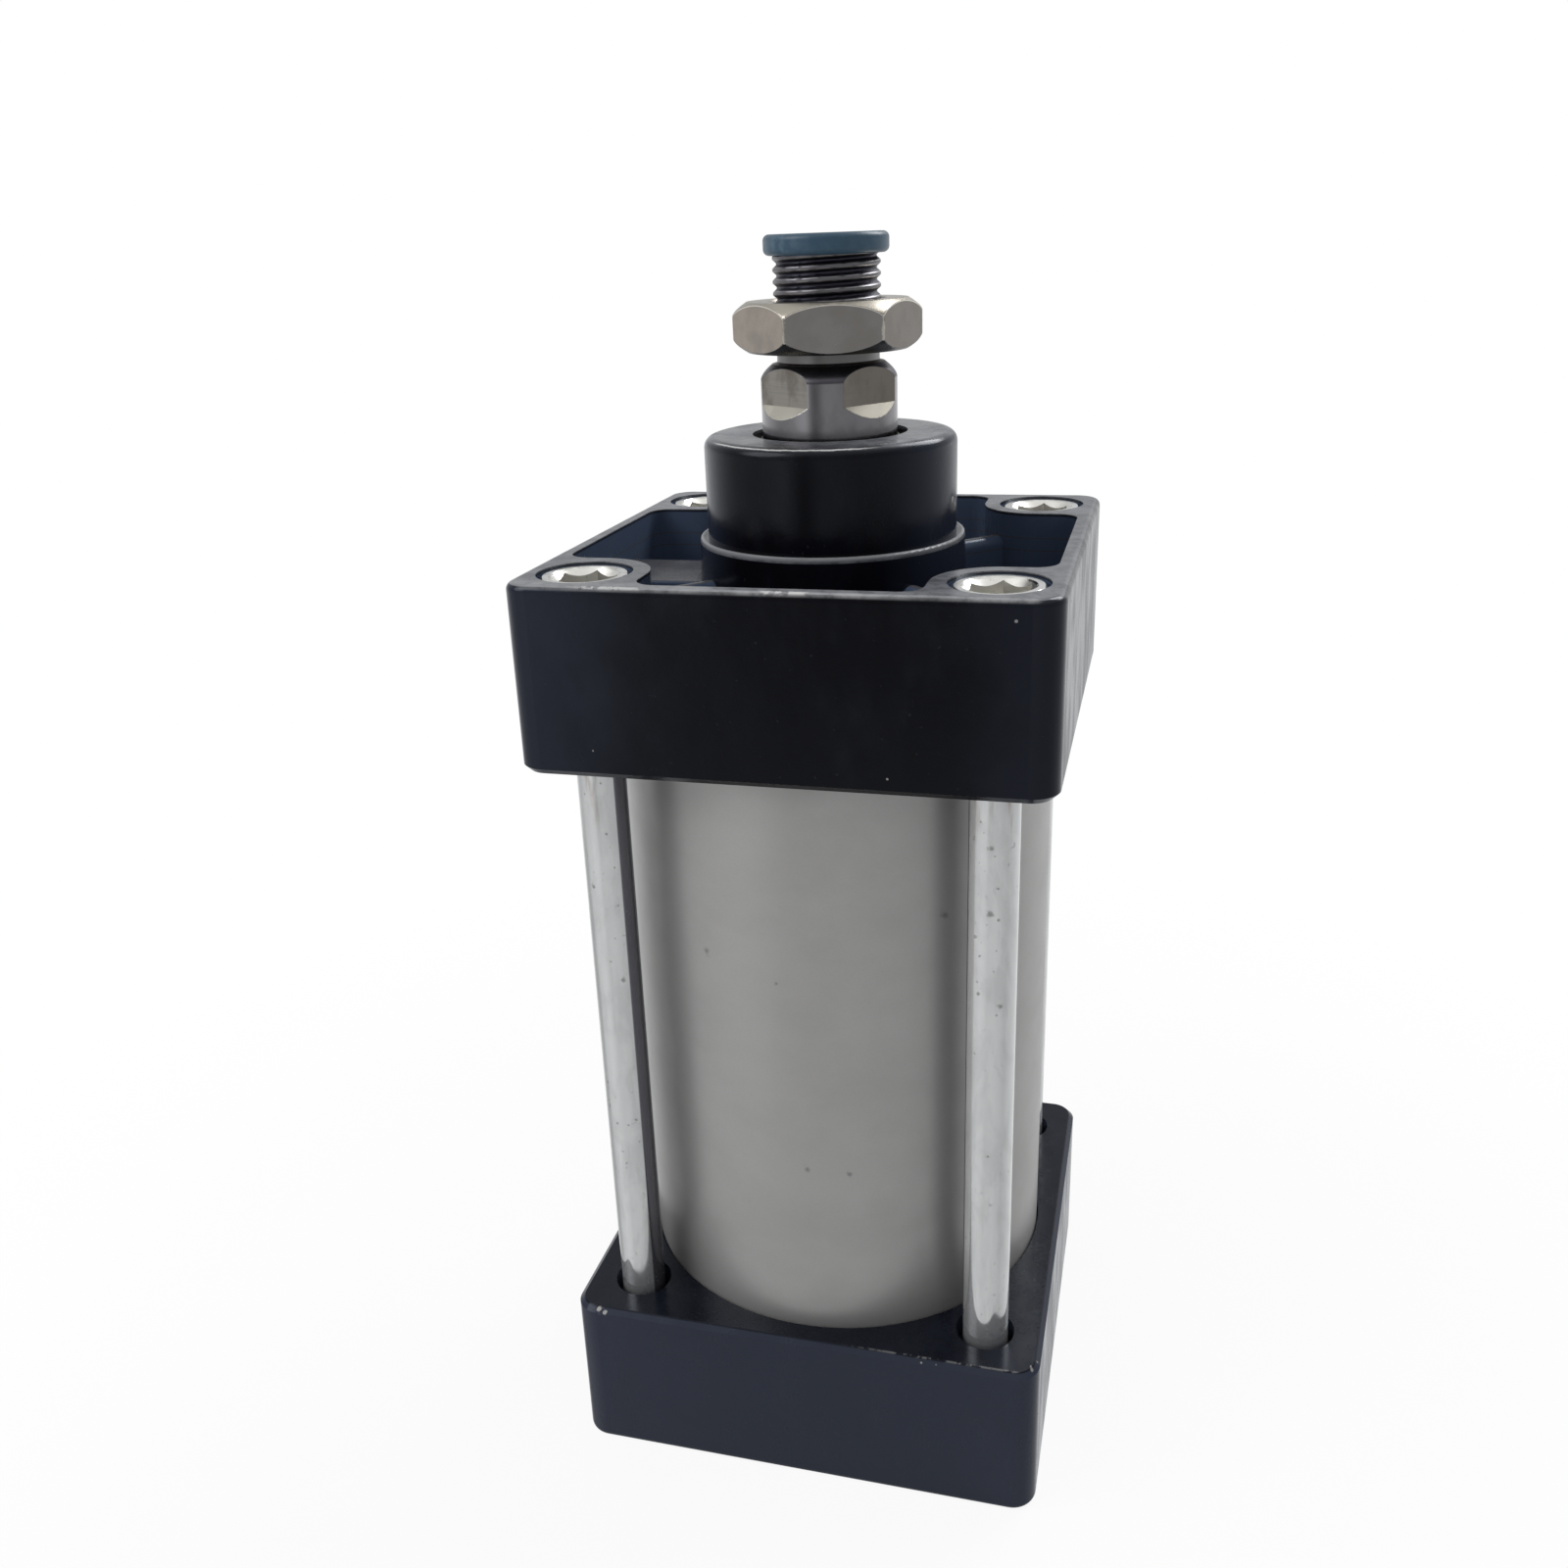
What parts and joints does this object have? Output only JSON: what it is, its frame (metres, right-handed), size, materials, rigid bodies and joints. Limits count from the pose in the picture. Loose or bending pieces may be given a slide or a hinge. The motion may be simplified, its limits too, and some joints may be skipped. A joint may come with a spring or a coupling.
{
  "type": "pneumatic cylinder",
  "caption": "Square-cover tie-rod air cylinder, double acting with adjustable end cushions, rod drawn in, with a lock nut and a thread cap on the rod end.",
  "frame": {"origin": "centre of the rear cover's outer face, on the cylinder's axis, where the part stands", "axes": "+Z along the rod, out of the front cover; ports on the -X faces, cushion screws on the +Y faces"},
  "size_m": [0.095, 0.095, 0.2388],
  "materials": {
    "cover_paint": "gloss black paint on a die-cast aluminium cover",
    "tube_metal": "satin anodised drawn aluminium barrel",
    "tie_rod_plating": "bright plated carbon steel with small pits",
    "socket_nut_plating": "bright zinc-plated turned steel",
    "lock_nut_plating": "warm grey plated steel, dull on the flats",
    "rod_steel": "hard chromed ground rod with a dark thread",
    "screw_steel": "plain turned steel",
    "piston_metal": "machined aluminium",
    "bush_bronze": "sintered bronze",
    "wear_resin": "natural resin",
    "magnet_rubber": "plastic-bonded magnet",
    "seal_rubber": "black nitrile rubber",
    "wiper_rubber": "dark grey scraper rubber",
    "cap_plastic": "soft blue plastic"
  },
  "bodies": {
    "cylinder_body": {"rear_cover": "cover_paint", "front_cover": "cover_paint", "cylinder_tube": "tube_metal", "tie_rods": "tie_rod_plating", "rear_tie_rod_nuts": "socket_nut_plating", "front_tie_rod_nuts": "socket_nut_plating", "rear_tube_gasket": "seal_rubber", "front_tube_gasket": "seal_rubber", "rear_cushion_seal": "seal_rubber", "front_cushion_seal": "seal_rubber", "rod_bush": "bush_bronze", "rod_packing": "seal_rubber", "rod_wiper": "wiper_rubber"},
    "piston_rings": {"rear_piston_packing": "seal_rubber", "front_piston_packing": "seal_rubber", "piston_wear_ring": "wear_resin"},
    "rod_assembly": {"piston_rod": "rod_steel", "rear_piston_half": "piston_metal", "front_piston_half": "piston_metal", "magnet_ring": "magnet_rubber", "piston_o_ring": "seal_rubber", "rear_cushion_sleeve": "piston_metal", "front_cushion_sleeve": "piston_metal", "piston_nut": "screw_steel"},
    "lock_nut": {"rod_lock_nut": "lock_nut_plating"},
    "rod_cap": {"thread_cap": "cap_plastic"},
    "rear_cushion_adjuster": {"rear_cushion_screw": "screw_steel", "rear_screw_o_ring": "seal_rubber"},
    "front_cushion_adjuster": {"front_cushion_screw": "screw_steel", "front_screw_o_ring": "seal_rubber"}
  },
  "joints": [
    {"name": "rod_slide", "type": "slide", "parent": "cylinder_body", "child": "piston_rings", "axis": [0, 0, 1], "range_m": [0, 0.075]},
    {"name": "rod_turn", "type": "hinge", "parent": "piston_rings", "child": "rod_assembly", "pos_m": [0, 0, 0.055], "axis": [0, 0, 1], "continuous": true},
    {"name": "lock_nut_turn", "type": "hinge", "parent": "rod_assembly", "child": "lock_nut", "pos_m": [0, 0, 0.2245], "axis": [0, 0, 1], "continuous": true},
    {"name": "cap_pull", "type": "slide", "parent": "rod_assembly", "child": "rod_cap", "axis": [0, 0, 1], "range_m": [0, 0.006]},
    {"name": "rear_cushion_turn", "type": "hinge", "parent": "cylinder_body", "child": "rear_cushion_adjuster", "pos_m": [0, 0.04, 0.017], "axis": [0, 1, 0], "range_deg": [-360, 720]},
    {"name": "front_cushion_turn", "type": "hinge", "parent": "cylinder_body", "child": "front_cushion_adjuster", "pos_m": [0, 0.04, 0.168], "axis": [0, 1, 0], "range_deg": [-360, 720]}
  ]
}
